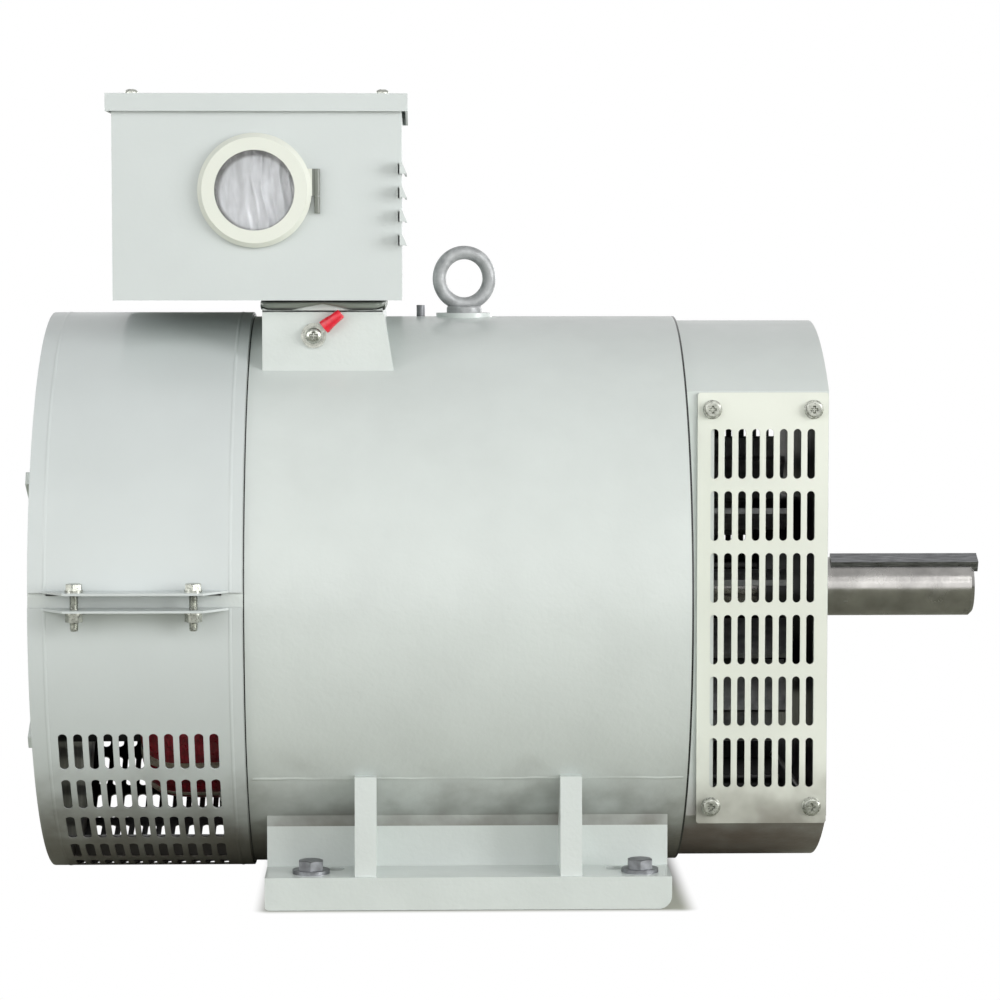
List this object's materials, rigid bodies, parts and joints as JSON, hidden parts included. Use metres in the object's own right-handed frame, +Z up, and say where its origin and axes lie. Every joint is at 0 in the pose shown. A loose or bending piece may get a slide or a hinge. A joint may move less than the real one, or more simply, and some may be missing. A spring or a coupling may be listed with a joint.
{
  "type": "generator alternator head",
  "caption": "Brush-type alternator head with a keyed shaft, slotted brush cover, grilled drive end, ribbed feet, lifting eye and a terminal box with a round window.",
  "frame": {"origin": "centre of the four free foot holes, on the plane the feet stand on", "axes": "+X along the shaft towards the drive end, +Z up, -Y towards the side with the window and the earth screw"},
  "size_m": [0.6693, 0.432, 0.5492],
  "materials": {
    "grey_green_paint": "gloss enamel over casting and sheet",
    "grey_green_sheet_paint": "gloss enamel over sheet steel",
    "zinc_plated_steel": "bright zinc plating",
    "dull_plated_steel": "dull zinc plating",
    "grey_primed_forging": "satin grey primer on a forging",
    "bearing_steel": "ground bearing steel",
    "turned_steel": "turned and oiled steel",
    "key_steel": "drawn key steel",
    "core_laminations": "stacked electrical steel",
    "crimson_varnished_winding": "enamelled copper under crimson varnish",
    "cast_aluminium": "cast aluminium",
    "moulded_black_plastic": "moulded black plastic",
    "brass": "turned brass",
    "white_moulded_nylon": "moulded white nylon",
    "carbon": "pressed carbon",
    "spring_steel": "spring steel",
    "black_rubber": "black rubber",
    "window_glass": "clear glass",
    "dial_white": "printed white plate",
    "needle_black": "black pointer",
    "clear_film": "crumpled clear polythene",
    "laminate_board": "resin laminate",
    "red_sleeve": "red vinyl sleeve"
  },
  "bodies": {
    "frame": {"bearing_cap_screws": "zinc_plated_steel", "bearing_outer_rings": "bearing_steel", "box_gasket": "black_rubber", "box_screws": "zinc_plated_steel", "brush_cover_lower": "grey_green_paint", "brush_cover_upper": "grey_green_paint", "brush_holder": "white_moulded_nylon", "brush_spring_inner": "spring_steel", "brush_spring_outer": "spring_steel", "cable_grommet": "black_rubber", "cover_clamp_nuts": "zinc_plated_steel", "cover_clamp_screws": "zinc_plated_steel", "cover_clamp_washers": "zinc_plated_steel", "drive_bearing_cap": "grey_green_paint", "drive_end_shield": "grey_green_paint", "drive_grille_front": "grey_green_paint", "drive_grille_rear": "grey_green_paint", "drive_shield_screws": "zinc_plated_steel", "earth_lug": "zinc_plated_steel", "earth_screw": "zinc_plated_steel", "earth_sleeve": "red_sleeve", "earth_washers": "zinc_plated_steel", "eyebolt": "grey_primed_forging", "foot_screws": "dull_plated_steel", "foot_washers": "dull_plated_steel", "grille_screws": "zinc_plated_steel", "protective_film": "clear_film", "rear_bearing_cap": "grey_green_paint", "rear_end_shield": "grey_green_paint", "rear_shield_screws": "zinc_plated_steel", "rectifier_bridge": "moulded_black_plastic", "stator_core": "core_laminations", "stator_frame": "grey_green_paint", "stator_winding": "crimson_varnished_winding", "terminal_board": "laminate_board", "terminal_box_body": "grey_green_sheet_paint", "terminal_nuts": "zinc_plated_steel", "terminal_studs": "brass", "top_stud": "dull_plated_steel", "voltmeter_case": "moulded_black_plastic", "voltmeter_dial": "dial_white", "window_hinge_bracket": "grey_green_sheet_paint", "window_hinge_pin": "zinc_plated_steel"},
    "rotor": {"shaft": "turned_steel", "shaft_key": "key_steel", "rotor_core": "core_laminations", "field_coils": "crimson_varnished_winding", "cooling_fan": "cast_aluminium", "slip_ring_hub": "moulded_black_plastic", "slip_rings": "brass", "bearing_inner_rings": "bearing_steel"},
    "box_lid": {"terminal_box_lid": "grey_green_sheet_paint", "lid_screws": "zinc_plated_steel"},
    "window": {"window_ring": "grey_green_sheet_paint", "window_glass": "window_glass"},
    "outer_brush": {"brush_outer": "carbon"},
    "inner_brush": {"brush_inner": "carbon"},
    "meter_needle": {"voltmeter_needle": "needle_black"}
  },
  "joints": [
    {"name": "rotor_spin", "type": "hinge", "parent": "frame", "child": "rotor", "pos_m": [-0.005, 0, 0.2], "axis": [1, 0, 0], "continuous": true},
    {"name": "lid_lift", "type": "slide", "parent": "frame", "child": "box_lid", "axis": [0, 0, 1], "range_m": [0, 0.15]},
    {"name": "window_swing", "type": "hinge", "parent": "frame", "child": "window", "pos_m": [-0.1059, -0.1272, 0.481], "axis": [0, 0, 1], "range_deg": [0, 110]},
    {"name": "outer_brush_slide", "type": "slide", "parent": "frame", "child": "outer_brush", "axis": [0, 0, -1], "range_m": [0, 0.01], "stiffness_N_per_m": 200, "springref_m": -0.02, "deforming": ["brush_spring_outer"]},
    {"name": "inner_brush_slide", "type": "slide", "parent": "frame", "child": "inner_brush", "axis": [0, 0, -1], "range_m": [0, 0.01], "stiffness_N_per_m": 200, "springref_m": -0.02, "deforming": ["brush_spring_inner"]},
    {"name": "needle_swing", "type": "hinge", "parent": "frame", "child": "meter_needle", "pos_m": [-0.148, -0.1194, 0.465], "axis": [0, 1, 0], "range_deg": [0, 90], "stiffness_Nm_per_rad": 0.0002, "springref_deg": -11.46}
  ]
}
